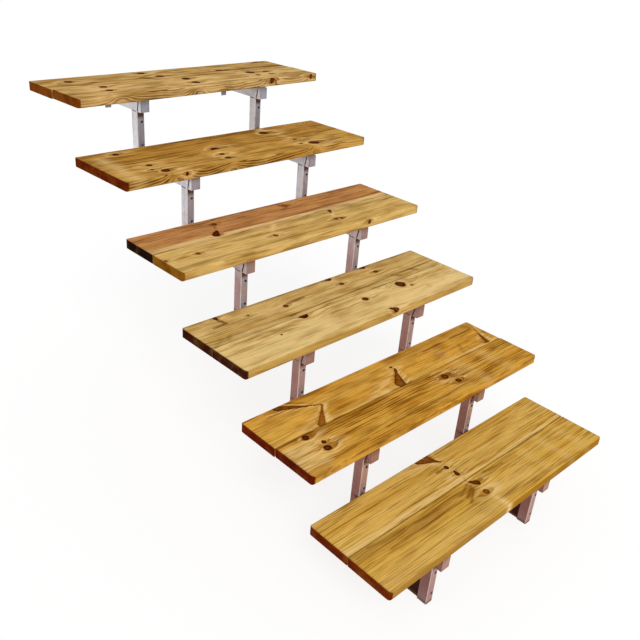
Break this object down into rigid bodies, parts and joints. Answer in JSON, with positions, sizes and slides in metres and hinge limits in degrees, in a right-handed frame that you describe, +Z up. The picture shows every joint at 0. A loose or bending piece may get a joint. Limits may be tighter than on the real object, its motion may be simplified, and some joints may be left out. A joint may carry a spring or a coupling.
{
  "type": "outdoor staircase",
  "caption": "Straight open garden stair of paired pine board treads on two zigzag strings of folded galvanised steel channel, hung from tabs at the top.",
  "frame": {"origin": "on the rear face of the left fixing tab of the top step, on the tab's centre line and level with the lower edge of the arm", "axes": "+X to the right when facing up the flight, +Y uphill and out of the tab's rear face, +Z up"},
  "size_m": [1.037, 1.6891, 1.088],
  "materials": {
    "pine": "planed and oiled softwood with knots",
    "golden_pine": "planed softwood with a golden oil",
    "pale_pine": "pale planed softwood",
    "red_pine": "planed red heartwood",
    "galvanised_steel": "dull hot-dip zinc",
    "dark_steel": "dark weathered steel"
  },
  "bodies": {
    "root": {"step_1_front_board": "golden_pine", "step_1_back_board": "golden_pine", "step_2_front_board": "golden_pine", "step_2_back_board": "golden_pine", "step_3_front_board": "pale_pine", "step_3_back_board": "pale_pine", "step_4_front_board": "pine", "step_4_back_board": "red_pine", "step_5_front_board": "pine", "step_5_back_board": "pine", "step_6_front_board": "pine", "step_6_back_board": "pine", "left_arm_1": "galvanised_steel", "left_arm_2": "galvanised_steel", "left_arm_3": "galvanised_steel", "left_arm_4": "galvanised_steel", "left_arm_5": "galvanised_steel", "left_arm_6": "galvanised_steel", "right_arm_1": "galvanised_steel", "right_arm_2": "galvanised_steel", "right_arm_3": "galvanised_steel", "right_arm_4": "galvanised_steel", "right_arm_5": "galvanised_steel", "right_arm_6": "galvanised_steel", "left_post_1": "galvanised_steel", "left_post_2": "galvanised_steel", "left_post_3": "galvanised_steel", "left_post_4": "galvanised_steel", "left_post_5": "galvanised_steel", "left_post_6": "galvanised_steel", "right_post_1": "galvanised_steel", "right_post_2": "galvanised_steel", "right_post_3": "galvanised_steel", "right_post_4": "galvanised_steel", "right_post_5": "galvanised_steel", "right_post_6": "galvanised_steel", "left_shoe": "dark_steel", "right_shoe": "dark_steel"}
  },
  "joints": []
}
